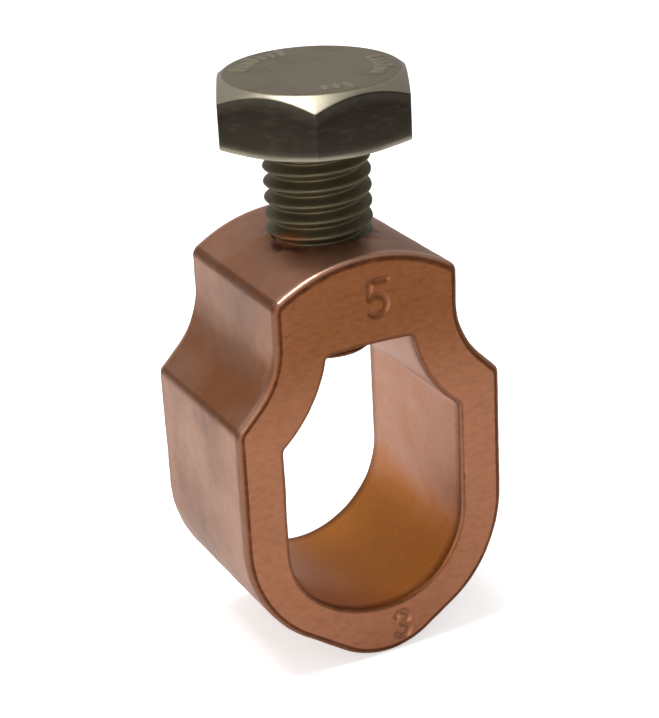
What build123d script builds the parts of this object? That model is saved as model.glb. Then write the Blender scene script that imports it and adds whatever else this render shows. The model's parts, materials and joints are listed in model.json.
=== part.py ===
"""Earth rod clamp: a cast copper-alloy shackle with one M10 hexagon clamp screw.

The rod and the conductor pass through the keyhole opening, and the screw presses
them down into the round seat. All sizes are millimetres.

Frame: the origin is the centre of the round rod seat, halfway through the shackle.
+Y runs along the rod, +Z up the screw towards its head, +X across the opening.
"""

import os
from math import cos, radians, sin, sqrt, tan

from build123d import *

# ---------------------------------------------------------------- driving sizes
# Opening of the shackle
SEAT_RADIUS = 9.07  # round seat at the bottom of the opening
ROOF_HEIGHT = 18.4  # middle of the roof above the seat's centre
ROOF_RISE = 0.15  # how far the roof arches above its corners

# Walls around it
SIDE_WALL = 4.5  # on each side of the seat
TIP_WALL = 4.73  # below the seat, at the rounded tip
NECK_WALL = 5.2  # between the hollow of the neck and the flare of the opening
CROWN_WALL = 8.7  # between the roof and the top of the crown
BODY_DEPTH = 18.1  # along the rod

# Outline of the shackle
TIP_SLOPE = 34.1  # degrees, each lower flank from the horizontal
TIP_OFFSET = 0.7  # the foot's point lies this far to +X
TIP_ROUND = 8.1
HIP_ROUND = 13.1  # where a lower flank turns up into the side
NECK_HALF_WIDTH = 9.3
HOLLOW_RADIUS = 8.1  # hollow between the neck and the side
HOLLOW_HEIGHT = 20.6  # centre of the hollow above the seat's centre
HOLLOW_SWEEP = 44.0  # degrees that the hollow turns through
HAUNCH_ROUND = 1.2  # corner between the hollow and the straight side
CROWN_RADIUS = 16.1
SHOULDER_ROUND = 1.2  # corner between the crown and the neck
RIM_ROUND = 0.55  # outer edges of the two faces
OPENING_CORNER_ROUND = 0.5  # corners of the opening's outline
MOUTH_ROUND = 0.35  # edges of the opening on the two faces

# Clamp screw, M10
THREAD_RADIUS = 5.0
THREAD_PITCH = 1.5
SCREW_LENGTH = 20.0  # under the head
SCREW_TIP_CHAMFER = 0.95
HEAD_ACROSS_FLATS = 17.0
HEAD_HEIGHT = 6.0
HEAD_TOP_RADIUS = 8.05  # flat circle inside the top chamfer
HEAD_TOP_SLOPE = 37.0  # degrees, the top chamfer from the flat
HEAD_FOOT_RADIUS = 8.35  # flat circle inside the lower chamfer
HEAD_FOOT_SLOPE = 25.0  # degrees, the lower chamfer from the flat
HEAD_TURN = 4.8  # degrees that the hexagon is turned about the screw
RELIEF_DEPTH = 0.4  # plain neck under the head, below the thread's crests
RELIEF_LENGTH = 1.1
TURNS_TO_CLOSE = 6  # turns left before the head meets the crown
CLOSED_GAP = 0.05  # left under the head after those turns

# Tapped hole
THREAD_CLEARANCE = 0.05
HOLE_MOUTH_CHAMFER = 0.35

# ---------------------------------------------------------------- worked out
seat_side = SEAT_RADIUS + SIDE_WALL
tip_height = -(SEAT_RADIUS + TIP_WALL)
crown_height = ROOF_HEIGHT + CROWN_WALL
crown_centre = crown_height - CROWN_RADIUS
hollow_centre = NECK_HALF_WIDTH + HOLLOW_RADIUS
flare_radius = HOLLOW_RADIUS + NECK_WALL
hole_radius = THREAD_RADIUS + THREAD_CLEARANCE
head_foot = crown_height + TURNS_TO_CLOSE * THREAD_PITCH + CLOSED_GAP
head_top = head_foot + HEAD_HEIGHT
screw_tip = head_foot - SCREW_LENGTH


def on_circle(centre_x, centre_z, radius, degrees):
    """Point of a circle in the outline's plane, at an angle from +X."""
    angle = radians(degrees)
    return (centre_x + radius * cos(angle), centre_z + radius * sin(angle))


def circle_height(centre_z, radius, offset):
    """Height of the upper point of a circle at a sideways offset from its centre."""
    return centre_z + sqrt(radius**2 - offset**2)


def flank_height(side_x):
    """Height at which a lower flank, unrounded, meets a side of the seat."""
    return apex_height + abs(side_x - TIP_OFFSET) * tan(radians(TIP_SLOPE))


def flare_half_width(height):
    """Half the width of the opening beside its flare, at a height above the seat."""
    return hollow_centre - sqrt(flare_radius**2 - (HOLLOW_HEIGHT - height) ** 2)


# ---------------------------------------------------------------- clamp body
# Foot of the outline, from hip to hip.
apex_height = tip_height - TIP_ROUND * (1 / cos(radians(TIP_SLOPE)) - 1)
apex = (TIP_OFFSET, apex_height)
right_hip = (seat_side, flank_height(seat_side))
left_hip = (-seat_side, flank_height(-seat_side))

# Right half of the outline above it, up to the crown.
hollow_start = on_circle(hollow_centre, HOLLOW_HEIGHT, HOLLOW_RADIUS, 180 + HOLLOW_SWEEP)
hollow_middle = on_circle(hollow_centre, HOLLOW_HEIGHT, HOLLOW_RADIUS, 180 + HOLLOW_SWEEP / 2)
hollow_end = (NECK_HALF_WIDTH, HOLLOW_HEIGHT)
haunch_height = hollow_start[1] - (seat_side - hollow_start[0]) / tan(radians(HOLLOW_SWEEP))
haunch = (seat_side, haunch_height)
left_haunch = (-seat_side, haunch_height)
shoulder = (
    NECK_HALF_WIDTH,
    circle_height(crown_centre, CROWN_RADIUS, NECK_HALF_WIDTH),
)
crown_middle = on_circle(0, crown_centre, CROWN_RADIUS, 75)
crown = (0, crown_height)

# Right half of the opening, from the seat up to the roof.
seat_middle = on_circle(0, 0, SEAT_RADIUS, -45)
roof_corner_height = ROOF_HEIGHT - ROOF_RISE
roof_corner = (flare_half_width(roof_corner_height), roof_corner_height)
flare_foot_height = HOLLOW_HEIGHT - sqrt(flare_radius**2 - (hollow_centre - SEAT_RADIUS) ** 2)
flare_foot = (SEAT_RADIUS, flare_foot_height)
flare_middle_height = (roof_corner_height + flare_foot_height) / 2
flare_middle = (flare_half_width(flare_middle_height), flare_middle_height)
roof_radius = (roof_corner[0] ** 2 + ROOF_RISE**2) / (2 * ROOF_RISE)
roof_centre = ROOF_HEIGHT - roof_radius
roof_middle_offset = roof_corner[0] / 2
roof_middle = (roof_middle_offset, circle_height(roof_centre, roof_radius, roof_middle_offset))

with BuildPart() as clamp_body:
    with BuildSketch(Plane.XZ) as outline:
        with BuildLine():
            Line(haunch, hollow_start)
            ThreePointArc(hollow_start, hollow_middle, hollow_end)
            Line(hollow_end, shoulder)
            ThreePointArc(shoulder, crown_middle, crown)
            mirror(about=Plane.YZ)
            Polyline(left_haunch, left_hip, apex, right_hip, haunch)
        make_face()
        # The corners from the lowest up: tip, hips, haunches, hollow starts and ends, shoulders.
        fillet(outline.vertices().sort_by(Axis.Y)[-2:], radius=SHOULDER_ROUND)
        fillet(outline.vertices().sort_by(Axis.Y)[3:5], radius=HAUNCH_ROUND)
        fillet(outline.vertices().sort_by(Axis.Y)[1:3], radius=HIP_ROUND)
        fillet(outline.vertices().sort_by(Axis.Y)[0], radius=TIP_ROUND)
    extrude(amount=BODY_DEPTH / 2, both=True)

    with BuildSketch(Plane.XZ) as opening:
        with BuildLine():
            ThreePointArc((0, -SEAT_RADIUS), seat_middle, (SEAT_RADIUS, 0))
            Line((SEAT_RADIUS, 0), flare_foot)
            ThreePointArc(flare_foot, flare_middle, roof_corner)
            ThreePointArc(roof_corner, roof_middle, (0, ROOF_HEIGHT))
            mirror(about=Plane.YZ)
        make_face()
        # The corners from the lowest up: seat ends, flare feet, roof corners.
        fillet(opening.vertices().sort_by(Axis.Y)[-2:], radius=OPENING_CORNER_ROUND)
        fillet(opening.vertices().sort_by(Axis.Y)[2:4], radius=OPENING_CORNER_ROUND)
    extrude(amount=BODY_DEPTH / 2, both=True, mode=Mode.SUBTRACT)

    faces = clamp_body.faces().filter_by(Axis.Y)
    fillet([edge for face in faces for edge in face.outer_wire().edges()], radius=RIM_ROUND)
    faces = clamp_body.faces().filter_by(Axis.Y)
    fillet(
        [edge for face in faces for wire in face.inner_wires() for edge in wire.edges()],
        radius=MOUTH_ROUND,
    )

    # The hole is drilled and tapped from the crown, and just bites the sides of the throat.
    with Locations((0, 0, crown_height)):
        Hole(radius=hole_radius, depth=crown_height)
    crown_edges = clamp_body.edges(Select.LAST).group_by(Axis.Z)[-1]
    chamfer(crown_edges, length=HOLE_MOUTH_CHAMFER)
clamp_body.part.label = "clamp_body"

# ---------------------------------------------------------------- clamp screw
# Hexagon bar, turned down to the profile of the head, the relief and the shank.
corner_radius = HEAD_ACROSS_FLATS / sqrt(3)
tip_radius = THREAD_RADIUS - SCREW_TIP_CHAMFER
relief_radius = THREAD_RADIUS - RELIEF_DEPTH
top_chamfer_drop = (corner_radius - HEAD_TOP_RADIUS) * tan(radians(HEAD_TOP_SLOPE))
foot_chamfer_rise = (corner_radius - HEAD_FOOT_RADIUS) * tan(radians(HEAD_FOOT_SLOPE))

with BuildPart() as clamp_screw:
    with BuildSketch(Plane.XY.offset(screw_tip)):
        RegularPolygon(radius=HEAD_ACROSS_FLATS / 2, side_count=6, major_radius=False, rotation=HEAD_TURN)
    extrude(amount=head_top - screw_tip)
    with BuildSketch(Plane.XZ):
        with BuildLine():
            Polyline(
                (0, screw_tip),
                (tip_radius, screw_tip),
                (THREAD_RADIUS, screw_tip + SCREW_TIP_CHAMFER),
                (THREAD_RADIUS, head_foot - RELIEF_LENGTH - RELIEF_DEPTH),
                (relief_radius, head_foot - RELIEF_LENGTH),
                (relief_radius, head_foot),
                (HEAD_FOOT_RADIUS, head_foot),
                (corner_radius, head_foot + foot_chamfer_rise),
                (corner_radius, head_top - top_chamfer_drop),
                (HEAD_TOP_RADIUS, head_top),
                (0, head_top),
                close=True,
            )
        make_face()
    revolve(axis=Axis.Z, mode=Mode.INTERSECT)
clamp_screw.part.label = "clamp_screw"

# ---------------------------------------------------------------- write the pieces
os.makedirs("parts", exist_ok=True)
for piece in (clamp_body.part, clamp_screw.part):
    export_step(piece, f"parts/{piece.label}.step")
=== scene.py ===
"""Earth rod clamp: the cast shackle, its clamp screw, their finishes and a plain studio.

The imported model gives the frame: the origin is the centre of the rod seat, +Y runs
along the rod and +Z up the screw. Lengths are in metres, and MM stands for one
millimetre.
"""

import json

import bpy
import numpy as np
from mathutils import Matrix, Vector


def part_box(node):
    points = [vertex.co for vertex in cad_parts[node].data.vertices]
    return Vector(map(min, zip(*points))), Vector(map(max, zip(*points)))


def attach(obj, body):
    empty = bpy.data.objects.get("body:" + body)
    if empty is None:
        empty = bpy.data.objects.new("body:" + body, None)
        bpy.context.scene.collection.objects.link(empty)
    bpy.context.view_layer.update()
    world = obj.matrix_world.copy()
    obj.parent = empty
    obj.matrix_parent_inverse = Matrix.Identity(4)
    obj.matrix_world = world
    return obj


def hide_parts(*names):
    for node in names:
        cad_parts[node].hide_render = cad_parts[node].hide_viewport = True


bl_info = {
    "name": "Earth rod clamp",
    "version": (1, 0, 0),
    "blender": (4, 5, 0),
    "location": "View3D > Sidebar > Rod clamp",
    "description": "Makes a cast earth rod clamp with its hexagon screw in a plain studio",
    "category": "Add Mesh",
}

MM = 0.001
# Half of the angle that one flat of the hexagon takes up.
HALF_SECTOR = np.pi / 6
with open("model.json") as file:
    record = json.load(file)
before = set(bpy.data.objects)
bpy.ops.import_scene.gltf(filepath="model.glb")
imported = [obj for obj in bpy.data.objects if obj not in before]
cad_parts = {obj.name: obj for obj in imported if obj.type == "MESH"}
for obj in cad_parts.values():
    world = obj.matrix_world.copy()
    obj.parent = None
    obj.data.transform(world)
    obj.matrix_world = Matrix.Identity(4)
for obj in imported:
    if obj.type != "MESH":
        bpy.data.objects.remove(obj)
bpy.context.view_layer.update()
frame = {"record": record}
body_low, body_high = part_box("clamp_body")
screw_low, screw_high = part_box("clamp_screw")
seat_mount = next(m for m in frame["record"]["mounts"] if m["name"] == "rod_seat")


# ------------------------------------------------------------------ sizes and colours
def length(name, description, default):
    """A property for one length of the clamp, in metres."""
    return bpy.props.FloatProperty(
        name=name,
        description=description,
        default=default,
        min=0.0,
        precision=5,
        subtype="DISTANCE",
        unit="LENGTH",
    )


def turn(name, description, degrees):
    """A property for one angle, given in degrees."""
    return bpy.props.FloatProperty(
        name=name,
        description=description,
        default=np.radians(degrees),
        subtype="ANGLE",
        unit="ROTATION",
    )


def tint(name, description, red, green, blue):
    """A property for one colour, given as display values from 0 to 255."""
    shown = np.array([red, green, blue]) / 255
    linear = np.where(shown <= 0.04045, shown / 12.92, ((shown + 0.055) / 1.055) ** 2.4)
    return bpy.props.FloatVectorProperty(
        name=name,
        description=description,
        default=linear.tolist(),
        size=3,
        min=0.0,
        max=1.0,
        subtype="COLOR",
    )


class ShackleSizes(bpy.types.PropertyGroup):
    """Sizes of the cast shackle."""

    seat_radius: length("Seat radius", "Round seat of the rod", seat_mount["dims"]["r_mm"] * MM)
    roof_height: length("Roof height", "Middle of the roof above the seat's centre", 18.4 * MM)
    roof_rise: length("Roof rise", "How far the roof arches above its corners", 0.15 * MM)
    neck_wall: length("Neck wall", "Between the hollow and the flare of the opening", 5.2 * MM)
    tip_slope: turn("Tip slope", "Lower flanks from the horizontal", 34.1)
    tip_offset: length("Tip offset", "The foot's point lies this far to +X", 0.7 * MM)
    tip_round: length("Tip round", "Radius of the foot's point", 8.1 * MM)
    hip_round: length("Hip round", "Radius from a lower flank to its side", 13.1 * MM)
    neck_half_width: length("Neck half width", "From the middle to a neck's side", 9.3 * MM)
    hollow_radius: length("Hollow radius", "Hollow between neck and side", 8.1 * MM)
    hollow_height: length("Hollow height", "Its centre above the seat's centre", 20.6 * MM)
    hollow_sweep: turn("Hollow sweep", "Angle that the hollow turns through", 44.0)
    haunch_round: length("Haunch round", "Corner between hollow and side", 1.2 * MM)
    crown_radius: length("Crown radius", "Arch of the crown", 16.1 * MM)
    shoulder_round: length("Shoulder round", "Corner between crown and neck", 1.2 * MM)
    rim_round: length("Rim round", "Outer edges of the two faces", 0.6 * MM)
    mouth_round: length("Mouth round", "Edges of the opening on the faces", 0.4 * MM)
    corner_round: length("Corner round", "Corners of the opening", 0.5 * MM)
    hole_radius: length("Hole radius", "Tapped hole in the crown, at its thread's roots", 5.0 * MM)
    drill_radius: length("Drill radius", "Tapped hole at its thread's crests", 4.33 * MM)
    numeral_depth: length("Numeral depth", "How deep the mould numerals are sunk", 0.22 * MM)
    draft: length("Draft", "Extra metal at the front of the seat's lower left", 0.58 * MM)
    unevenness: length("Unevenness", "Depth of the casting's low waves", 0.07 * MM)


class ScrewSizes(bpy.types.PropertyGroup):
    """Sizes of the hexagon clamp screw."""

    across_flats: length("Across flats", "Width of the hexagon", 17.0 * MM)
    head_height: length("Head height", "Height of the hexagon", 6.0 * MM)
    head_turn: turn("Head turn", "The hexagon about the screw", 4.8)
    top_radius: length("Top radius", "Flat circle inside the top chamfer", 8.05 * MM)
    top_slope: turn("Top slope", "Top chamfer from the flat", 37.0)
    foot_radius: length("Foot radius", "Flat circle inside the lower chamfer", 8.5 * MM)
    foot_slope: turn("Foot slope", "Lower chamfer from the flat", 15.0)
    thread_radius: length("Thread radius", "Outside of the thread", 4.96 * MM)
    thread_pitch: length("Thread pitch", "Rise of the thread in one turn", 1.5 * MM)
    thread_turn: turn("Thread turn", "Where the thread starts", 40.0)
    tip_chamfer: length("Tip chamfer", "Chamfer of the screw's tip", 0.95 * MM)
    tip_reach: length("Tip reach", "How far the tip stands below the plain shank", 0.5 * MM)
    mark_height: length("Mark height", "Raised ticks on the head's top", 0.14 * MM)


class ClampColours(bpy.types.PropertyGroup):
    """Colours of the two metals and the studio."""

    cast_rosy: tint("Rosy skin", "Tumbled sides of the casting", 182, 141, 120)
    cast_brown: tint("Brown face", "Grained faces of the casting", 144, 88, 50)
    cast_gold: tint("Golden seat", "Rubbed seat at the bottom of the opening", 198, 122, 52)
    cast_red: tint("Worn face", "Worn faces low on the casting", 180, 123, 93)
    # Painted light: a lighter copy of the skin for the walls inside the opening, and the painted
    # highlight on rims that face up.
    cast_pale_painted_light: tint("Pale wall", "Inner walls of the casting's opening", 206, 158, 136)
    # Also the painted shade on the rims, in the sunk numerals and nicks, and on the opening's
    # mouth.
    cast_dark_grain_and_shade: tint("Dark grain", "Pits and seams of the casting", 84, 46, 26)
    cast_grey: tint("Grey stain", "Stains on the casting's sides", 130, 104, 90)
    steel_bright: tint("Bright steel", "Turned chamfers of the screw", 162, 154, 136)
    steel_top: tint("Top steel", "Top of the screw's head", 130, 118, 94)
    steel_thread: tint("Thread steel", "Thread of the screw", 102, 94, 73)
    # Painted shade: the flats' dark colour stands in for a dark reflection. The same colour also
    # darkens random patches.
    steel_flat_shade_and_mottle: tint("Dark flats", "Flats of the hexagon", 41, 36, 29)
    floor: tint("Floor", "Floor and backdrop", 250, 250, 250)


# ------------------------------------------------------------------ shapes on grids
def arc(centre, radius, start, end, count=40):
    """Points of a circular arc: centre + radius * (cos a, sin a), a evenly from start to end."""
    angle = np.linspace(start, end, count)
    return np.array(centre) + radius * np.column_stack((np.cos(angle), np.sin(angle)))


def rounded_corner(before, corner, after, radius, count):
    """Points of the arc of that radius that touches both runs at a corner.

    It starts radius / tan(half the inner angle) from the corner, and its centre lies on
    the angle's bisector, radius / sin(half the inner angle) away.
    """
    before, corner, after = (np.array(p, float) for p in (before, corner, after))
    back = (before - corner) / np.linalg.norm(before - corner)
    on = (after - corner) / np.linalg.norm(after - corner)
    half = np.arccos(np.clip(back @ on, -1, 1)) / 2
    centre = corner + (back + on) / np.linalg.norm(back + on) * radius / np.sin(half)
    first = corner + back * radius / np.tan(half) - centre
    last = corner + on * radius / np.tan(half) - centre
    start = np.arctan2(first[1], first[0])
    swing = (np.arctan2(last[1], last[0]) - start + np.pi) % (2 * np.pi) - np.pi
    return arc(centre, radius, start, start + swing, count)


def evenly(path, count):
    """count points along a path at equal steps of its length, without its last point."""
    run = np.concatenate(([0.0], np.cumsum(np.linalg.norm(np.diff(path, axis=0), axis=1))))
    at = np.arange(count) / count * run[-1]
    return np.column_stack([np.interp(at, run, path[:, k]) for k in range(2)])


def astride(values, axis=0):
    """The next value less the one before, at every place round a closed loop."""
    return np.roll(values, -1, axis=axis) - np.roll(values, 1, axis=axis)


def side_normals(loop):
    """Unit normals to the right of travel along a closed loop, from central differences."""
    along = astride(loop)
    along /= np.linalg.norm(along, axis=1, keepdims=True)
    return np.column_stack((along[:, 1], -along[:, 0]))


def waves(points, wavelength, seed, count=14):
    """Smooth noise from -1 to 1: the mean of sines that run in random directions.

    Each sine's wavelength is 0.7 to 1.35 times the one given. The seed fixes them all.
    """
    draw = np.random.default_rng(seed)
    direction = draw.normal(size=(count, 3))
    direction /= np.linalg.norm(direction, axis=1, keepdims=True)
    number = 2 * np.pi / (wavelength * draw.uniform(0.7, 1.35, size=(count, 1)))
    phase = draw.uniform(0, 2 * np.pi, size=count)
    return np.sin(points @ (direction * number).T + phase).sum(-1) / np.sqrt(2 * count)


def ramp(value, low, high):
    """Smooth step: 0 up to low, 1 from high, and 3t^2 - 2t^3 between them."""
    t = np.clip((value - low) / (high - low), 0, 1)
    return t * t * (3 - 2 * t)


def stroke_distance(points, strokes):
    """Distance from points (x, z) to the nearest of some polylines."""
    nearest = np.full(points.shape[:-1], np.inf)
    for stroke in strokes:
        start, run = stroke[:-1], np.diff(stroke, axis=0)
        away = points[..., None, :] - start
        along = np.clip((away * run).sum(-1) / (run**2).sum(-1), 0, 1)
        gap = np.linalg.norm(away - along[..., None] * run, axis=-1).min(-1)
        nearest = np.minimum(nearest, gap)
    return nearest


def grid_normals(points):
    """Outward unit normals of a grid that is closed both ways, from central differences."""
    normal = np.cross(astride(points, 1), astride(points))
    return normal / np.maximum(np.linalg.norm(normal, axis=-1, keepdims=True), 1e-12)


def grid_object(name, points, poles, attributes):
    """A mesh object from a grid of points, rows by columns.

    The columns close on themselves. The rows do too if poles is None, and otherwise each
    end is closed by a fan to its pole. attributes holds one number for each grid point.
    """
    rows, columns = points.shape[:2]
    index = np.arange(rows * columns).reshape(rows, columns)
    above = np.roll(index, -1, axis=0) if poles is None else index[1:]
    below = index if poles is None else index[:-1]
    quads = np.stack(
        (below, np.roll(below, -1, axis=1), np.roll(above, -1, axis=1), above), axis=-1
    ).reshape(-1, 4)
    vertices = points.reshape(-1, 3)
    loops, sizes = quads.reshape(-1), np.full(len(quads), 4)
    if poles is not None:
        first, last = index[0], index[-1]
        low, high = rows * columns, rows * columns + 1
        fan_low = np.stack((np.full(columns, low), np.roll(first, -1), first), axis=-1)
        fan_high = np.stack((np.full(columns, high), last, np.roll(last, -1)), axis=-1)
        fans = np.concatenate((fan_low, fan_high))
        vertices = np.concatenate((vertices, poles))
        loops = np.concatenate((loops, fans.reshape(-1)))
        sizes = np.concatenate((sizes, np.full(len(fans), 3)))
    mesh = bpy.data.meshes.new(name)
    mesh.vertices.add(len(vertices))
    mesh.vertices.foreach_set("co", np.ascontiguousarray(vertices, np.float32).reshape(-1))
    mesh.loops.add(len(loops))
    mesh.loops.foreach_set("vertex_index", loops.astype(np.int32))
    mesh.polygons.add(len(sizes))
    starts = np.concatenate(([0], np.cumsum(sizes)[:-1])).astype(np.int32)
    mesh.polygons.foreach_set("loop_start", starts)
    mesh.update(calc_edges=True)
    for label, values in attributes.items():
        spare = np.zeros(len(vertices) - values.size)
        layer = mesh.attributes.new(label, "FLOAT", "POINT")
        layer.data.foreach_set("value", np.concatenate((values.reshape(-1), spare)))
    made = bpy.data.objects.new(name, mesh)
    bpy.context.scene.collection.objects.link(made)
    return made


def smooth_by_angle(made, degrees):
    """Smooth shading, with the edges sharper than an angle kept sharp."""
    bpy.ops.object.select_all(action="DESELECT")
    made.select_set(True)
    bpy.context.view_layer.objects.active = made
    bpy.ops.object.shade_smooth_by_angle(angle=np.radians(degrees))


# ------------------------------------------------------------------ the cast shackle
def half_outline(sizes, lean):
    """Right half of the shackle's outline in five runs, from the foot's point to the crown.

    The foot is two flanks that meet in an arc at x = lean, then come a rounded hip, the
    straight side, the haunch, the concave hollow, the neck, the shoulder and the crown.
    """
    side, crown_top, tip = body_high.x, body_high.z, body_low.z
    slope, sweep = sizes.tip_slope, sizes.hollow_sweep
    apex = np.array([lean, tip - sizes.tip_round * (1 / np.cos(slope) - 1)])
    hip = np.array([side, apex[1] + (side - lean) * np.tan(slope)])
    hollow_middle = (sizes.neck_half_width + sizes.hollow_radius, sizes.hollow_height)
    hollow = arc(hollow_middle, sizes.hollow_radius, np.pi + sweep, np.pi)
    haunch = np.array([side, hollow[0, 1] - (side - hollow[0, 0]) / np.tan(sweep)])
    crown_middle = crown_top - sizes.crown_radius
    reach = sizes.neck_half_width
    shoulder = np.array([reach, crown_middle + np.sqrt(sizes.crown_radius**2 - reach**2)])
    on_crown = shoulder + np.array([crown_middle - shoulder[1], shoulder[0]])
    toe = arc((lean, tip + sizes.tip_round), sizes.tip_round, -np.pi / 2, slope - np.pi / 2)
    hip_arc = rounded_corner(apex, hip, haunch, sizes.hip_round, 41)
    haunch_arc = rounded_corner(hip, haunch, hollow[0], sizes.haunch_round, 21)
    shoulder_arc = rounded_corner(hollow[-1], shoulder, on_crown, sizes.shoulder_round, 21)
    last = shoulder_arc[-1] - (0, crown_middle)
    crown = arc((0, crown_middle), sizes.crown_radius, np.arctan2(last[1], last[0]), np.pi / 2)
    over_screw = 4.2 * MM
    split = np.searchsorted(-crown[:, 0], -over_screw)
    mid_hip, mid_haunch = len(hip_arc) // 2, len(haunch_arc) // 2
    return [
        np.concatenate((toe, hip_arc[: mid_hip + 1])),
        np.concatenate((hip_arc[mid_hip:], haunch_arc[: mid_haunch + 1])),
        np.concatenate((haunch_arc[mid_haunch:], hollow, shoulder_arc[:1])),
        np.concatenate((shoulder_arc, crown[1 : split + 1])),
        crown[split:],
    ]


def half_opening(sizes):
    """Right half of the opening in five runs that face those of the outline.

    The seat is a half circle, then come the straight side, the flare, concentric with the
    hollow outside, the rounded corner of the roof and the roof, which falls as x squared.
    """
    seat, level = sizes.seat_radius, sizes.hollow_height
    middle = sizes.neck_half_width + sizes.hollow_radius
    flare = sizes.hollow_radius + sizes.neck_wall
    foot = level - np.sqrt(flare**2 - (middle - seat) ** 2)
    corner = sizes.roof_height - sizes.roof_rise
    height = np.linspace(foot, corner, 60)
    side = np.column_stack((middle - np.sqrt(flare**2 - (level - height) ** 2), height))
    turned = side[-1, 0]
    across = np.linspace(turned, 0, 60)
    roof = np.column_stack((across, sizes.roof_height - sizes.roof_rise * (across / turned) ** 2))
    foot_arc = rounded_corner((seat, 0), side[0], side[6], sizes.corner_round, 13)
    roof_arc = rounded_corner(side[-8], side[-1], roof[8], sizes.corner_round, 13)
    keep = (side[:, 1] > foot_arc[-1, 1]) & (side[:, 1] < roof_arc[0, 1])
    roof = roof[roof[:, 0] < roof_arc[-1, 0]]
    over_screw, seat_split = 1.9 * MM, np.radians(-30)
    split = np.searchsorted(-roof[:, 0], -over_screw)
    mid_arc = len(foot_arc) // 2
    return [
        arc((0, 0), seat, -np.pi / 2, seat_split, 60),
        np.concatenate((arc((0, 0), seat, seat_split, 0, 40), foot_arc[: mid_arc + 1])),
        np.concatenate((foot_arc[mid_arc:], side[keep], roof_arc[: mid_arc + 1])),
        np.concatenate((roof_arc[mid_arc:], roof[: split + 1])),
        roof[split:],
    ]


def closed_loop(right, left, counts):
    """A closed loop from the runs of its right half and of its mirrored left half.

    Each run gets its own count of even steps. It goes round from the lowest point, up the
    right side, over the top and down the left side.
    """
    up = [evenly(run, count) for run, count in zip(right, counts)]
    down = [evenly(run[::-1] * (-1, 1), count) for run, count in zip(left, counts)]
    return np.concatenate(up + down[::-1])


def numeral_three(centre, height):
    """Strokes of a plain 3: two bowls, each most of a circle, that meet in the middle."""
    r = height / 4
    upper = arc((centre[0], centre[1] + r), r, np.radians(155), np.radians(-90), 14)
    lower = arc((centre[0], centre[1] - r), r, np.radians(90), np.radians(-155), 14)
    return [upper, lower]


def numeral_five(centre, height):
    """Strokes of a plain 5: a bar, an upright and a bowl below them."""
    x, z = centre
    half, r = height / 2, height * 0.29
    bowl = arc((x - 0.02 * height, z - half + r), r, np.radians(125), np.radians(-140), 16)
    top = np.array([(x + r, z + half), (x - r * 0.8, z + half), (x - r * 0.9, bowl[0, 1])])
    return [np.concatenate((top, bowl))]


def at_depths(flat, depth):
    """Points from rows of x and z and from a depth, y, for each row."""
    depth = np.broadcast_to(depth, flat.shape[:2] + (1,))
    return np.concatenate((flat[..., :1], depth, flat[..., 1:]), axis=-1)


def rounded_edge(edge, out, radius, face, inwards, start, end, steps):
    """Rows of a rounded edge, as the angle runs evenly from start to end.

    The wall lies at an angle of 0 and the face at a quarter turn. The circle's centre is
    one radius inside the edge, against out, and one radius under the face. inwards is 1
    on the front face and -1 on the back one.
    """
    angle = np.linspace(start, end, steps)[:, None, None]
    flat = (edge - out * radius) + out * radius * np.cos(angle)
    return at_depths(flat, face + inwards * radius * (1 - np.sin(angle)))


def straight_band(start, end, start_y, end_y, steps, crowded=False):
    """Rows of a straight band between two loops, without its two edges.

    The steps are even, or crowded towards both edges as the cosine of an even turn.
    """
    t = (np.arange(1, steps) / steps)[:, None, None]
    t = (1 - np.cos(t * np.pi)) / 2 if crowded else t
    return at_depths(start + (end - start) * t, start_y + (end_y - start_y) * t)


def shackle_relief(points, sizes):
    """Height of the cast skin over its plain shape, and how far it is burred and sunk.

    The skin dips in low waves and a fine ripple. Two numerals are sunk into the front
    face, the opening's right edge has two nicks, and a ragged burr rings the hole.
    """
    on_front = points[..., 1] < body_low.y + 0.01 * MM
    far_off = 1.0

    def cut_in(strokes, full, none):
        """1 within a distance of some strokes on the front face, and 0 past another."""
        away = np.where(on_front, stroke_distance(points[..., ::2], strokes), far_off)
        return 1 - ramp(away, full, none)

    crown_numeral = (1.0 * MM, (sizes.roof_height + body_high.z) / 2 + 0.1 * MM)
    foot_numeral = (2.2 * MM, (body_low.z - sizes.seat_radius) / 2 + 0.25 * MM)
    strokes = numeral_five(crown_numeral, 3.3 * MM) + numeral_three(foot_numeral, 2.7 * MM)
    sunk = cut_in(strokes, 0.1 * MM, 0.42 * MM)
    nicks = np.array([(9.2, 3.4), (9.3, 2.7)]) * MM
    nick_run, nick_depth = (0.2 * MM, 0.1 * MM), 0.2 * MM
    struck = cut_in([np.array([nick, nick + nick_run]) for nick in nicks], 0.05 * MM, 0.35 * MM)

    low = 0.5 + 0.35 * waves(points, 11 * MM, 3) + 0.2 * waves(points, 4.2 * MM, 5)
    ripple = 0.012 * MM * (1 + waves(points, 1.7 * MM, 9))
    dip = sizes.unevenness * np.clip(low, 0, 1) + ripple
    from_hole = np.hypot(points[..., 0], points[..., 1]) - sizes.hole_radius
    on_crown = points[..., 2] > sizes.roof_height + 3 * MM
    burr_width, burr_height = 0.8 * MM, 0.16 * MM
    burr = (1 - ramp(from_hole, 0.1 * MM, burr_width)) * on_crown * (from_hole > -burr_width)
    ragged = np.clip(0.4 + waves(points, 1.6 * MM, 12), 0, 1)
    lift = burr * burr_height * ragged - dip - sizes.numeral_depth * sunk - nick_depth * struck
    return lift, burr, np.maximum(sunk, struck)


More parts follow.
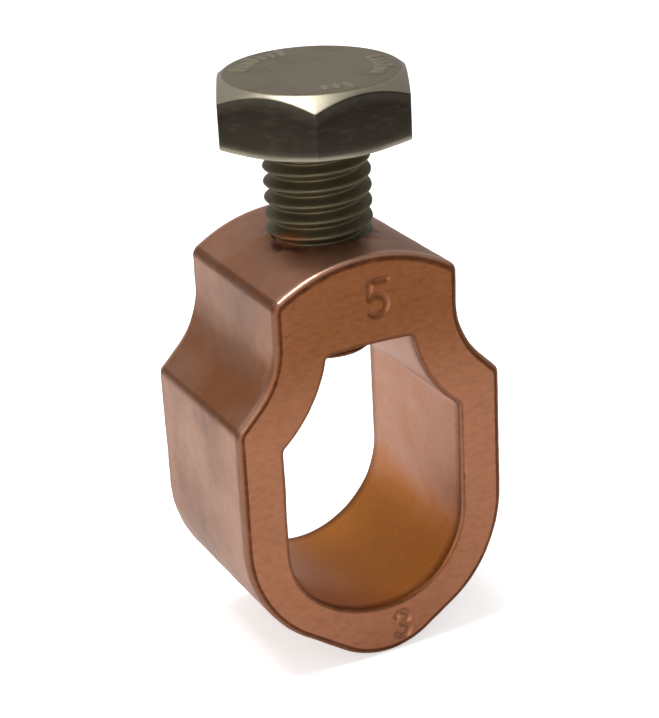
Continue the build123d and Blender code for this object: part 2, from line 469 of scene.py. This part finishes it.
def shackle_grid(sizes):
    """Points of the cast shackle, and numbers on them that its finish reads.

    One way the grid runs round the keyhole, and the other way round the section: over the
    rim, across the front face, through the opening, across the back and along the outside.
    The seat's lower left is cast thicker at the front, by the square of a cosine over a
    bearing of draft_reach degrees to each side of draft_middle.
    """
    counts = (76, 52, 60, 40, 34)
    outer = closed_loop(
        half_outline(sizes, sizes.tip_offset), half_outline(sizes, -sizes.tip_offset), counts
    )
    opening = half_opening(sizes)
    inner = closed_loop(opening, opening, counts)
    outward, inward = side_normals(outer), -side_normals(inner)
    draft_middle, draft_reach = -108, 62
    bearing = np.degrees(np.arctan2(inner[:, 1], inner[:, 0]))
    from_middle = np.clip((bearing - draft_middle) / draft_reach, -1, 1)
    thick = np.cos(from_middle * np.pi / 2) ** 2
    inner_front = inner + inward * (sizes.draft * thick)[:, None]

    rim, mouth = sizes.rim_round, sizes.mouth_round
    front, back = body_low.y, body_high.y
    quarter = np.pi / 2
    outer_face, inner_face = outer - outward * rim, inner - inward * mouth
    bands = {
        "front_rim": rounded_edge(outer, outward, rim, front, 1, 0, quarter, 7),
        "front": straight_band(outer_face, inner_front - inward * mouth, front, front, 56),
        "front_mouth": rounded_edge(inner_front, inward, mouth, front, 1, quarter, 0, 6),
        "opening": straight_band(inner_front, inner, front + mouth, back - mouth, 18),
        "back_mouth": rounded_edge(inner, inward, mouth, back, -1, 0, quarter, 6),
        "back": straight_band(inner_face, outer_face, back, back, 16, True),
        "back_rim": rounded_edge(outer, outward, rim, back, -1, quarter, 0, 7),
        "outside": straight_band(outer, outer, back - rim, front + rim, 44),
    }
    points = np.concatenate(list(bands.values()))
    labels = np.repeat(list(bands), [len(rows) for rows in bands.values()])
    whole = np.ones(points.shape[:2])

    def on(*names):
        """1 on the rows of the named bands, and 0 elsewhere."""
        return np.isin(labels, names)[:, None] * whole

    # The seams are three rows each, where the front and back faces meet their rims.
    row = np.arange(len(points))
    first, last = (np.argmax(labels == name) for name in ("front", "back_rim"))
    seam = np.isin(row, (first - 2, first - 1, first, last - 1, last, last + 1))[:, None]
    turning, step = (np.linalg.norm(astride(loop), axis=1) for loop in (outward, outer))
    bulges = np.abs(outer[:, 0]) > sizes.neck_half_width * 0.9
    ridge = ramp(turning / step * sizes.haunch_round, 0.25, 0.9) * bulges

    lift, burr, sunk = shackle_relief(points, sizes)
    marks = {
        "rim": on("front_rim", "back_rim"),
        "seam": seam * whole,
        "ridge": on("front_rim", "back_rim", "outside") * ridge,
        "inner": on("front_mouth", "opening", "back_mouth"),
        "mouth": on("front_mouth", "back_mouth"),
        "burr": burr,
        "sunk": sunk,
    }
    points = points + grid_normals(points) * lift[..., None]
    points[..., 2] = np.minimum(points[..., 2], body_high.z)
    return points, marks


def bored(made, sizes, screw):
    """Cuts the tapped hole through the crown with a cutter that has the screw's own helix.

    The cutter's radius is the hole's less the depth of that thread, and never less than the
    drill's. Near the top a cone opens the hole's mouth wherever it is wider than the thread.
    """
    columns, rows_per_pitch, pitch = 120, 14, screw.thread_pitch
    top, bottom = body_high.z + 1.5 * MM, sizes.roof_height * 0.6
    angle = np.arange(columns) / columns * 2 * np.pi
    height = np.linspace(bottom, top, int((top - bottom) / pitch * rows_per_pitch))[:, None]
    from_start = angle - screw.head_turn - HALF_SECTOR - screw.thread_turn
    thread = thread_depth(height / pitch - from_start / (2 * np.pi), pitch)
    cone = sizes.hole_radius + height - body_high.z
    radius = np.maximum(np.maximum(sizes.hole_radius - thread, sizes.drill_radius), cone)
    level = height + 0 * radius
    points = np.stack((radius * np.cos(angle), radius * np.sin(angle), level), axis=-1)
    cutter = grid_object("hole_cutter", points, np.array([(0, 0, bottom), (0, 0, top)]), {})
    cut = made.modifiers.new("tapped_hole", "BOOLEAN")
    cut.object, cut.operation, cut.solver = cutter, "DIFFERENCE", "EXACT"
    bpy.context.view_layer.objects.active = made
    bpy.ops.object.modifier_apply(modifier=cut.name)
    bpy.data.objects.remove(cutter)


# ------------------------------------------------------------------ the clamp screw
def head_angles():
    """Angles round the screw: even steps on each flat, and finer ones at its corners.

    Each sixth runs from one flat to the next, with the corner 30 degrees from the middle.
    """
    flat = np.linspace(-28.6, 28.6, 32)
    corner = np.array([29.0, 29.3, 29.55, 29.75, 29.9, 30.0, 30.1, 30.25, 30.45, 30.7, 31.0])
    sector = np.radians(np.concatenate((flat, corner)))
    return (np.arange(6)[:, None] * 2 * HALF_SECTOR + sector).reshape(-1)


def hexagon_radius(angle, across, rounding):
    """Distance from the axis to a hexagon's side, with its corners rounded to arcs.

    On a flat it is half the width over the cosine of the angle from the flat's middle.
    Near a corner it is the far crossing of the ray with the corner's circle.
    """
    from_flat = (angle + HALF_SECTOR) % (2 * HALF_SECTOR) - HALF_SECTOR
    from_corner = HALF_SECTOR - np.abs(from_flat)
    middle = (across / 2 - rounding) / np.cos(HALF_SECTOR)
    touch = np.arctan2(rounding * 0.5, middle + rounding * np.cos(HALF_SECTOR))
    inside = np.maximum(rounding**2 - (middle * np.sin(from_corner)) ** 2, 0)
    curved = middle * np.cos(from_corner) + np.sqrt(inside)
    return np.where(from_corner < touch, curved, across / 2 / np.cos(from_flat))


def thread_depth(turns, pitch):
    """Depth below the crest of a rounded 60 degree thread, turns along its pitch.

    A triangle wave of that flank, cut off at the crest and at the root. Each cut is the
    mean of a sum and of a root of squares, which leaves a soft corner.
    """
    half_crest, root_depth, soft = pitch / 11, 0.6 * pitch, 0.09 * pitch
    from_crest = np.abs((turns + 0.5) % 1 - 0.5) * pitch
    flank = (from_crest - half_crest) / np.tan(np.radians(30))
    rise = 0.5 * (flank + np.sqrt(flank**2 + soft**2))
    return 0.5 * (rise + root_depth - np.sqrt((rise - root_depth) ** 2 + (1.6 * soft) ** 2))


def softened(corners, radius, steps):
    """Rows of a path whose corners are cut by short curves, for every column at once.

    At each inner corner the path leaves one run at a short distance, follows a parabola
    that bends towards the corner, and joins the next run at the same distance.
    """
    rows = [corners[:1]]
    t = np.linspace(0, 1, steps)[:, None, None]
    for k in range(1, len(corners) - 1):
        if radius[k] == 0:
            rows.append(corners[k : k + 1])
            continue
        back, on = corners[k - 1] - corners[k], corners[k + 1] - corners[k]
        back_run = np.linalg.norm(back, axis=-1, keepdims=True)
        on_run = np.linalg.norm(on, axis=-1, keepdims=True)
        cut = np.minimum(radius[k], 0.45 * np.minimum(back_run, on_run))
        first = corners[k] + back / np.maximum(back_run, 1e-9) * cut
        last = corners[k] + on / np.maximum(on_run, 1e-9) * cut
        rows.append((1 - t) ** 2 * first + 2 * t * (1 - t) * corners[k] + t**2 * last)
    return np.concatenate(rows + [corners[-1:]])


def tick_marks(angle, radius):
    """1 on plain raised ticks near the rim of the head's top, and 0 between them.

    Each tick is a short radial bar whose outer end wanders a little, and the ticks stand
    in three groups, with their bearings in degrees.
    """
    spacing = 9.5
    groups = [np.arange(low, high, spacing) for low, high in ((90, 150), (-46, 6), (-106, -84))]
    ticks = np.radians(np.concatenate(groups))
    apart = np.abs((angle[..., None] - ticks + np.pi) % (2 * np.pi) - np.pi)
    sideways = apart.min(-1) * radius
    reach = (6.9 + 0.35 * np.cos(apart.argmin(-1) * 2.1)) * MM
    along = ramp(radius, 5.5 * MM, 5.75 * MM) * (1 - ramp(radius, reach, reach + 0.25 * MM))
    return along * (1 - ramp(sideways, 0.14 * MM, 0.36 * MM))


def shank_rows(sizes, angle, tip, relief_low, neck):
    """Radius and height of the threaded shank, from its tip up to the relief.

    The radius is the crest's less the depth of a helix whose height grows by one pitch
    each turn, a little worn. One cone cuts it at the tip, and another runs it out into
    the relief, whose radius is the neck's.
    """
    pitch, crest, rows_per_pitch = sizes.thread_pitch, sizes.thread_radius, 20
    count = int(round((relief_low - tip) / pitch * rows_per_pitch))
    level = np.linspace(tip, relief_low, count)[:, None]
    turns = level / pitch - (angle - sizes.thread_turn) / (2 * np.pi)
    near, wear = 4.9 * MM, 0.02 * MM
    skin = np.broadcast_arrays(near * np.cos(angle), near * np.sin(angle), level)
    worn = np.abs(wear * waves(np.stack(skin, -1), 2 * MM, 21))
    cut = crest - thread_depth(turns, pitch) - worn
    chamfer = crest - sizes.tip_chamfer + (level - tip) * 1.25
    runout = neck + (relief_low - level) * 1.1
    shank = np.minimum(np.minimum(cut, chamfer), runout)
    return np.stack((shank, np.broadcast_to(level, shank.shape)), axis=-1)


def screw_grid(sizes):
    """Points of the screw, from its tip up to its head's top, its two poles and its marks.

    The radius depends on angle and height. On the head it is the hexagon's, and the two
    chamfers are cones that cut its corners. The marks are numbers that the finish reads.
    """
    angle = head_angles()
    crest, top_radius = sizes.thread_radius, sizes.top_radius
    tip, top = screw_low.z - sizes.tip_reach, screw_high.z - sizes.mark_height
    foot = screw_high.z - sizes.head_height
    side = hexagon_radius(angle, sizes.across_flats, 0.3 * MM)
    flat = np.ones_like(angle)
    neck = crest - 0.62 * sizes.thread_pitch + 0.25 * MM
    relief_low = foot - 1.5 * MM
    shank = shank_rows(sizes, angle, tip, relief_low, neck)

    low_cone = foot + np.maximum(side - sizes.foot_radius, 0) * np.tan(sizes.foot_slope)
    high_cone = top - np.maximum(side - top_radius, 0) * np.tan(sizes.top_slope)
    # The head's corners from the relief up: radius, height and how far each is softened.
    corners = (
        (neck, relief_low, 0),
        (neck, foot, 0.25 * MM),
        (sizes.foot_radius, foot, 0.12 * MM),
        (side, low_cone, 0.45 * MM),
        (side, low_cone + 0.5 * MM, 0),
        (side, low_cone + 0.9 * MM, 0),
        (side, high_cone - 1.2 * MM, 0),
        (side, high_cone - 0.4 * MM, 0),
        (side, high_cone, 0.22 * MM),
        (top_radius, top, 0.3 * MM),
        (top_radius - 0.5 * MM, top, 0),
    )
    path = np.stack([np.stack((r * flat, z * flat), axis=-1) for r, z, _ in corners])
    head = softened(path, [soft for _, _, soft in corners], 6)
    # Fine rings carry the raised ticks, and coarser ones fill the middle.
    fine = np.linspace(top_radius - 0.62 * MM, 5.0 * MM, 20)
    rings = np.concatenate((fine, np.linspace(4.6 * MM, 0.3 * MM, 12)))[:, None]
    lid = np.stack((rings * flat, top * np.ones_like(rings * flat)), axis=-1)
    rows = np.concatenate((shank, head[1:], lid))

    turned = angle + sizes.head_turn + HALF_SECTOR
    radius, height = rows[..., 0], rows[..., 1]
    points = np.stack((radius * np.cos(turned), radius * np.sin(turned), height), axis=-1)
    on_top = (np.arange(len(rows)) >= len(rows) - len(lid))[:, None]
    ticks = tick_marks(turned, radius) * on_top
    points[..., 2] += ticks * sizes.mark_height
    # The flats mask carries painted shade onto the hexagon's flats, a little weaker near their top
    # and bottom.
    flats = ramp(height - low_cone, 0.1 * MM, 0.6 * MM) * (height < high_cone - 0.03 * MM)
    flats = flats * (1 - 0.1 * ramp(height, high_cone - 1.6 * MM, high_cone))
    flats = flats * (0.94 + 0.06 * ramp(height, low_cone + 0.6 * MM, low_cone + 1.8 * MM))
    flats[: len(shank)] = 0.0
    # A painted reflection of the copper round it colours the tip, and copper colour sits on the
    # threads' left side where they enter.
    tip_copper_reflection = 1 - ramp(height, tip + 1.2 * MM, tip + 1.8 * MM)
    at_mouth = 1 - ramp(height + 0.5 * points[..., 1], 26.8 * MM, 27.6 * MM)
    at_mouth = at_mouth * ramp(height, 24.4 * MM, 25.4 * MM)
    side_copper_tint = at_mouth * ramp(-points[..., 0], 2.6 * MM, 4.4 * MM)
    marks = {
        "flats": flats,
        "thread": (height < foot - 0.02 * MM).astype(float),
        "marked": ticks,
        "copper_reflection_and_tint": np.maximum(tip_copper_reflection, side_copper_tint),
    }
    return points, np.array([(0, 0, tip), (0, 0, top)]), marks


# ------------------------------------------------------------------ finishes
class Value:
    """A shader socket. Sums and products of values add their Math nodes."""

    def __init__(self, finish, socket):
        self.finish, self.socket = finish, socket

    def maths(self, operation, *others):
        """One Math node whose inputs are this value and the others."""
        inputs = dict(enumerate((self, *others)))
        return self.finish.node("ShaderNodeMath", {"operation": operation}, inputs)["Value"]

    def __add__(self, other):
        return self.maths("ADD", other)

    def __mul__(self, other):
        return self.maths("MULTIPLY", other)

    def __sub__(self, other):
        return self.maths("SUBTRACT", other)

    def __rsub__(self, other):
        return self.finish.number(other).maths("SUBTRACT", self)

    __radd__, __rmul__ = __add__, __mul__

    def size(self):
        """The value without its sign."""
        return self.maths("ABSOLUTE")

    def between(self, low, high):
        """0 up to low and 1 from high, with a smooth step between them."""
        ranges = {"Value": self, "From Min": low, "From Max": high}
        settings = {"interpolation_type": "SMOOTHSTEP"}
        return self.finish.node("ShaderNodeMapRange", settings, ranges)["Result"]


class Finish:
    """A material and its nodes."""

    def __init__(self, name):
        self.material = bpy.data.materials.new(name)
        self.material.use_nodes = True
        self.tree = self.material.node_tree
        self.shader = self.tree.nodes["Principled BSDF"]

    def node(self, kind, settings, inputs):
        """A node of a type with its settings, then its inputs. Returns its outputs by name."""
        made = self.tree.nodes.new(kind)
        for setting, value in settings.items():
            setattr(made, setting, value)
        for key, value in inputs.items():
            self.feed(made.inputs[key], value)
        return {out.name: Value(self, out) for out in made.outputs if out.enabled}

    def feed(self, socket, value):
        """Links a value into a socket, or sets the socket to a plain number or colour."""
        if isinstance(value, Value):
            self.tree.links.new(value.socket, socket)
        else:
            socket.default_value = value

    def number(self, plain):
        """A plain number as a value, for the left side of an expression."""
        return self.node("ShaderNodeMath", {"operation": "ADD"}, {0: plain, 1: 0.0})["Value"]

    def place(self):
        """Object coordinates, which stay with the piece."""
        return self.node("ShaderNodeTexCoord", {}, {})["Object"]

    def parts(self, vector):
        """The X, Y and Z of a vector, by name."""
        return self.node("ShaderNodeSeparateXYZ", {}, {0: vector})

    def facing(self):
        """The three parts of the surface's own direction in the piece's frame."""
        return self.parts(self.node("ShaderNodeTexCoord", {}, {})["Normal"])

    def stretched(self, vector, scale):
        """A vector scaled by parts, which draws a pattern out where the scale is small."""
        inputs = {"Vector": vector, "Scale": scale}
        return self.node("ShaderNodeMapping", {}, inputs)["Vector"]

    def mark(self, label):
        """A number kept on the mesh's points under a name."""
        settings = {"attribute_type": "GEOMETRY", "attribute_name": label}
        return self.node("ShaderNodeAttribute", settings, {})["Fac"]

    def noise(self, grain, detail=3.0, roughness=0.55, where=None):
        """Fractal noise whose largest features are about grain metres across."""
        inputs = {"Vector": where or self.place(), "Scale": 0.6 / grain}
        inputs |= {"Detail": detail, "Roughness": roughness}
        return self.node("ShaderNodeTexNoise", {}, inputs)["Fac"]

    def mix(self, share, first, second):
        """A colour mixed from two, by a share from 0 to 1."""
        made = self.tree.nodes.new("ShaderNodeMix")
        made.data_type = "RGBA"
        share_in, first_in, second_in = (made.inputs[k] for k in (0, 6, 7))
        self.feed(share_in, share)
        for socket, colour in ((first_in, first), (second_in, second)):
            self.feed(socket, colour if isinstance(colour, Value) else (*colour, 1.0))
        return Value(self, made.outputs[2])

    def bump(self, height, strength):
        """A normal that follows a height in metres."""
        inputs = {"Height": height, "Strength": strength, "Distance": 1.0}
        return self.node("ShaderNodeBump", {}, inputs)["Normal"]

    def surface(self, **sockets):
        """Feeds the surface shader's sockets, with spaces for underscores in their names."""
        for label, value in sockets.items():
            self.feed(self.shader.inputs[label.replace("_", " ")], value)
        return self.material


def cast_copper_alloy(colours):
    """Tumbled cast copper alloy: rosy sides, browner grained faces, a golden seat."""
    f = Finish("cast_copper_alloy")
    place, facing = f.place(), f.facing()
    at, drawn = f.parts(place), f.stretched(place, (0.5, 1.0, 1.0))
    rim, ridge, inner = f.mark("rim"), f.mark("ridge"), f.mark("inner")
    broad, patch = f.noise(7 * MM, 3.0), f.noise(2.6 * MM, 4.0, 0.6)
    grain, speck = f.noise(0.3 * MM, 2.5, 0.6, drawn), f.noise(0.75 * MM, 3.0, 0.6, drawn)
    face = facing["Y"].size().between(0.55, 0.95)
    high = (at["Z"] + broad * 6 * MM).between(14 * MM, 24 * MM)

    # Rosy outer skin: browner where it faces up or up to the right, stained on its sides.
    upward = facing["Z"].between(0.02, 0.4) * 0.8 - facing["Z"].between(0.55, 0.95) * 0.5
    upward = upward + facing["X"].between(0.02, 0.4) * facing["Z"].between(0.4, 0.8) * 0.5
    brown = broad.between(0.35, 0.68) * 0.4 + upward
    skin = f.mix(brown, colours.cast_rosy, colours.cast_brown)
    sideways, inland = facing["X"].size().between(0.75, 0.98), at["Y"].size()
    blotch = (broad + patch * 0.4).between(0.5, 0.85)
    stain = sideways * inland.between(8.2 * MM, 3.5 * MM) * blotch
    stain = stain * 0.5 + patch.between(0.5, 0.72) * 0.25
    skin = f.mix(stain, skin, colours.cast_grey)

    # Inside the opening: painted light, the walls mixed pale, and gold on the seat that fades to
    # the right.
    skin = f.mix(inner * 0.8, skin, colours.cast_pale_painted_light)
    seat = inner * (facing["Z"] + patch * 0.5 - 0.25).between(-0.2, 0.5)
    skin = f.mix(seat * (1 - facing["X"].between(-0.1, 0.7) * 0.6), skin, colours.cast_gold)

    # Front and back faces: brown, and redder low down.
    worn = broad.between(0.3, 0.75) * 0.25 + (1 - high) * 0.7
    colour = f.mix(face, skin, f.mix(worn, colours.cast_brown, colours.cast_red))

    # Rims: painted shade, brown and dark, darkest where they face sideways, and a painted
    # highlight, pale, where they face up.
    highlight_edge_up = rim * facing["Z"].between(0.25, 0.75)
    shaded_edge_side = rim * facing["X"].size().between(0.3, 0.8)
    colour = f.mix(rim * 0.5 - shaded_edge_side * 0.35, colour, colours.cast_brown)
    colour = f.mix(rim * 0.3 + shaded_edge_side * 0.1, colour, colours.cast_dark_grain_and_shade)
    colour = f.mix(highlight_edge_up * 0.8, colour, colours.cast_pale_painted_light)

    # Dark grain in pits, on ridges and seams and at the burr, and painted shade in what is sunk
    # and on the mouth.
    pits = grain.between(0.36, 0.78) * (0.1 + face * (0.1 + high * 0.1))
    seams = f.mark("seam") * (1 - highlight_edge_up) * patch.between(0.1, 0.5) * 0.75
    dark = pits + speck.between(0.45, 0.85) * face * 0.1 + ridge * (1 - face) * 0.45 + seams
    # Painted shade in the sunk numerals and nicks; the burr term is dark grain.
    dark = dark + f.mark("sunk") * 0.18 + f.mark("burr") * patch.between(0.4, 0.6) * 0.5
    # Painted shade on the rounded edges of the opening, darker where they face up.
    dark = dark + f.mark("mouth") * (0.45 + facing["Z"].between(0.0, 0.8) * 0.25)
    colour = f.mix(dark, colour, colours.cast_dark_grain_and_shade)

    height = grain * (-0.02 * MM) + speck * (-0.018 * MM) + patch * (-0.03 * MM)
    rough = 0.4 + patch * 0.1 + face * 0.06 - highlight_edge_up * 0.14
    return f.surface(Base_Color=colour, Metallic=0.92, Roughness=rough, Normal=f.bump(height, 0.8))


def stainless_steel(colours):
    """Plain stainless steel: bright chamfers, a dull top and thread, and flats darkened by painted
    shade.
    """
    f = Finish("stainless_steel")
    flats, thread, marked = f.mark("flats"), f.mark("thread"), f.mark("marked")
    top = f.facing()["Z"].between(0.9, 0.985) * (1 - thread)
    patch, fine = f.noise(2.2 * MM, 4.0, 0.6), f.noise(0.35 * MM, 2.0, 0.5)
    speck = f.noise(0.9 * MM, 3.0, 0.6, f.stretched(f.place(), (1.0, 1.0, 3.0)))
    colour = f.mix(top * (1 - marked * 0.8), colours.steel_bright, colours.steel_top)
    colour = f.mix(thread, colour, colours.steel_thread)
    # Painted reflection of copper on the tip, and copper colour on the thread's left side at the
    # mouth.
    colour = f.mix(f.mark("copper_reflection_and_tint") * 0.7, colour, colours.cast_brown)
    # Painted shade: the flats take the dark colour that stands in for a dark reflection.
    colour = f.mix(flats, colour, colours.steel_flat_shade_and_mottle)
    # Painted glints: faint bright specks on the flats.
    colour = f.mix(flats * speck.between(0.45, 0.8) * 0.06, colour, colours.steel_bright)
    colour = f.mix(patch.between(0.5, 0.75) * 0.2, colour, colours.steel_flat_shade_and_mottle)
    height = fine * (-0.006 * MM) + patch * (-0.012 * MM) + speck * flats * (0.012 * MM)
    rough = 0.35 + patch * 0.12 - top * 0.01 + thread * 0.13 - flats * 0.1
    return f.surface(Base_Color=colour, Metallic=1.0, Roughness=rough, Normal=f.bump(height, 0.7))


def pale_stage(colours):
    """Plain pale floor. Seen straight on it is lifted to white, and it keeps the shadow."""
    f = Finish("pale_stage")
    lift = f.node("ShaderNodeLightPath", {}, {})["Is Camera Ray"] * 0.5
    speckle = f.noise(4 * MM, 2.0).between(0.0, 1.0) * 0.01
    colour = f.mix(speckle, colours.floor, (0.8, 0.8, 0.8))
    white = (1.0, 1.0, 1.0, 1.0)
    return f.surface(
        Base_Color=colour, Roughness=0.9, Emission_Color=white, Emission_Strength=lift
    )


# ------------------------------------------------------------------ operators
class MESH_OT_rod_clamp_shackle(bpy.types.Operator):
    """Make the cast shackle with its tapped hole and mould numerals"""

    bl_idname = "mesh.rod_clamp_shackle"
    bl_label = "Cast shackle"

    def execute(self, context):
        sizes, colours = context.scene.clamp_shackle, context.scene.clamp_colours
        points, marks = shackle_grid(sizes)
        shackle = grid_object("shackle", points, None, marks)
        bored(shackle, sizes, context.scene.clamp_screw)
        smooth_by_angle(shackle, 38)
        shackle.data.materials.append(cast_copper_alloy(colours))
        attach(shackle, "shackle")
        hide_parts("clamp_body")
        return {"FINISHED"}


class MESH_OT_rod_clamp_screw(bpy.types.Operator):
    """Make the hexagon clamp screw with its thread"""

    bl_idname = "mesh.rod_clamp_screw"
    bl_label = "Clamp screw"

    def execute(self, context):
        sizes, colours = context.scene.clamp_screw, context.scene.clamp_colours
        points, poles, marks = screw_grid(sizes)
        screw = grid_object("screw", points, poles, marks)
        smooth_by_angle(screw, 60)
        screw.data.materials.append(stainless_steel(colours))
        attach(screw, "screw")
        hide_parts("clamp_screw")
        return {"FINISHED"}


def set_down(name, data, right, up, back, place):
    """Adds a lamp or camera at a place. Its three axes are the columns of its matrix."""
    made = bpy.data.objects.new(name, data)
    axes = np.eye(4)
    axes[:3] = np.column_stack((right, up, back, place))
    made.matrix_world = Matrix(axes.tolist())
    bpy.context.scene.collection.objects.link(made)
    return made


def lamp(name, place, width, power):
    """A square area lamp of a width in metres and a power in watts, aimed at the clamp."""
    light = bpy.data.lights.new(name, "AREA")
    light.shape, light.size, light.energy = "SQUARE", width, power
    back = np.array(place) - (0.0, 0.0, 0.012)
    back /= np.linalg.norm(back)
    right = np.cross((0.0, 0.0, 1.0), back)
    right /= np.linalg.norm(right)
    set_down(name, light, right, np.cross(back, right), back, place)


def soft_room():
    """A plain world: white when seen straight on, and dimmer as a light."""
    world = bpy.data.worlds.new("soft_room")
    world.use_nodes = True
    nodes, links = world.node_tree.nodes, world.node_tree.links
    seen, strength = nodes.new("ShaderNodeLightPath"), nodes.new("ShaderNodeMapRange")
    strength.inputs["To Min"].default_value = 0.42
    nodes["Background"].inputs["Color"].default_value = (1, 1, 1, 1)
    links.new(seen.outputs["Is Camera Ray"], strength.inputs["Value"])
    links.new(strength.outputs["Result"], nodes["Background"].inputs["Strength"])
    return world


def studio_camera():
    """The camera, from its azimuth round the clamp, its elevation over it and its roll.

    It looks the way of the line to the origin, from beside that line and above it.
    """
    azimuth, elevation, roll = np.radians([-26.013, 23.587, -3.035])
    distance, sideways, upwards = 201.312 * MM, 0.25 * MM, 12.678 * MM
    level = np.array([np.sin(azimuth), -np.cos(azimuth), 0.0]) * np.cos(elevation)
    back = level + (0.0, 0.0, np.sin(elevation))
    right = np.array([np.cos(azimuth), np.sin(azimuth), 0.0])
    up = np.cross(back, right)
    eye = back * distance + right * sideways + up * upwards
    lens = bpy.data.cameras.new("studio_camera")
    lens.sensor_width, lens.lens = 36.0, 104.07
    lens.clip_start, lens.clip_end = 0.01, 10.0
    rolled_right = right * np.cos(roll) + up * np.sin(roll)
    rolled_up = up * np.cos(roll) - right * np.sin(roll)
    return set_down("studio_camera", lens, rolled_right, rolled_up, back, eye)


class SCENE_OT_rod_clamp_studio(bpy.types.Operator):
    """Make the pale floor, the backdrop, the lamps and the camera"""

    bl_idname = "scene.rod_clamp_studio"
    bl_label = "Plain studio"

    def execute(self, context):
        scene = context.scene
        half, rise, back, bend, level = 4.0, 3.0, 0.9, 0.3, body_low.z
        sweep = arc((back - bend, level + bend), bend, -np.pi / 2, 0.0, 24)
        path = np.concatenate(([(-half, level)], sweep, [(back, level + rise)]))
        across = np.array([[-half, half]])
        stage = np.stack(np.broadcast_arrays(across, path[:, :1], path[:, 1:]), axis=-1)
        index = np.arange(stage.shape[0] * 2).reshape(-1, 2)
        quads = np.stack((index[:-1, 0], index[:-1, 1], index[1:, 1], index[1:, 0]), axis=-1)
        mesh = bpy.data.meshes.new("stage_sweep")
        mesh.from_pydata(stage.reshape(-1, 3).tolist(), [], quads.tolist())
        mesh.update()
        mesh.shade_smooth()
        mesh.materials.append(pale_stage(scene.clamp_colours))
        floor = bpy.data.objects.new("stage_sweep", mesh)
        scene.collection.objects.link(floor)

        lamp("top_lamp", (-0.12, 0.03, 0.61), 0.27, 2.5)
        lamp("side_lamp", (-0.5, -0.12, 0.06), 0.4, 0.5)
        lamp("front_lamp", (-0.34, -0.52, 0.13), 0.4, 1.5)
        scene.world = soft_room()
        scene.camera = studio_camera()
        scene.view_settings.view_transform = "Standard"
        return {"FINISHED"}


class VIEW3D_PT_rod_clamp(bpy.types.Panel):
    """Lists the clamp's pieces with their sizes"""

    bl_label = "Earth rod clamp"
    bl_idname = "VIEW3D_PT_rod_clamp"
    bl_space_type = "VIEW_3D"
    bl_region_type = "UI"
    bl_category = "Rod clamp"

    def draw(self, context):
        groups = (
            ("clamp_shackle", MESH_OT_rod_clamp_shackle),
            ("clamp_screw", MESH_OT_rod_clamp_screw),
            ("clamp_colours", SCENE_OT_rod_clamp_studio),
        )
        for label, operator in groups:
            group = getattr(context.scene, label)
            column = self.layout.column(align=True)
            column.operator(operator.bl_idname)
            for key in group.__annotations__:
                column.prop(group, key)


GROUPS = {
    "clamp_shackle": ShackleSizes,
    "clamp_screw": ScrewSizes,
    "clamp_colours": ClampColours,
}
CLASSES = (
    *GROUPS.values(),
    MESH_OT_rod_clamp_shackle,
    MESH_OT_rod_clamp_screw,
    SCENE_OT_rod_clamp_studio,
    VIEW3D_PT_rod_clamp,
)


def register():
    """Registers the classes and hangs the property groups on the scene."""
    for made in CLASSES:
        bpy.utils.register_class(made)
    for label, group in GROUPS.items():
        setattr(bpy.types.Scene, label, bpy.props.PointerProperty(type=group))


def unregister():
    """Takes the property groups and the classes away again."""
    for label in GROUPS:
        delattr(bpy.types.Scene, label)
    for made in reversed(CLASSES):
        bpy.utils.unregister_class(made)


def main():
    register()
    bpy.ops.mesh.rod_clamp_shackle()
    bpy.ops.mesh.rod_clamp_screw()
    bpy.ops.scene.rod_clamp_studio()


if __name__ == "__main__":
    main()
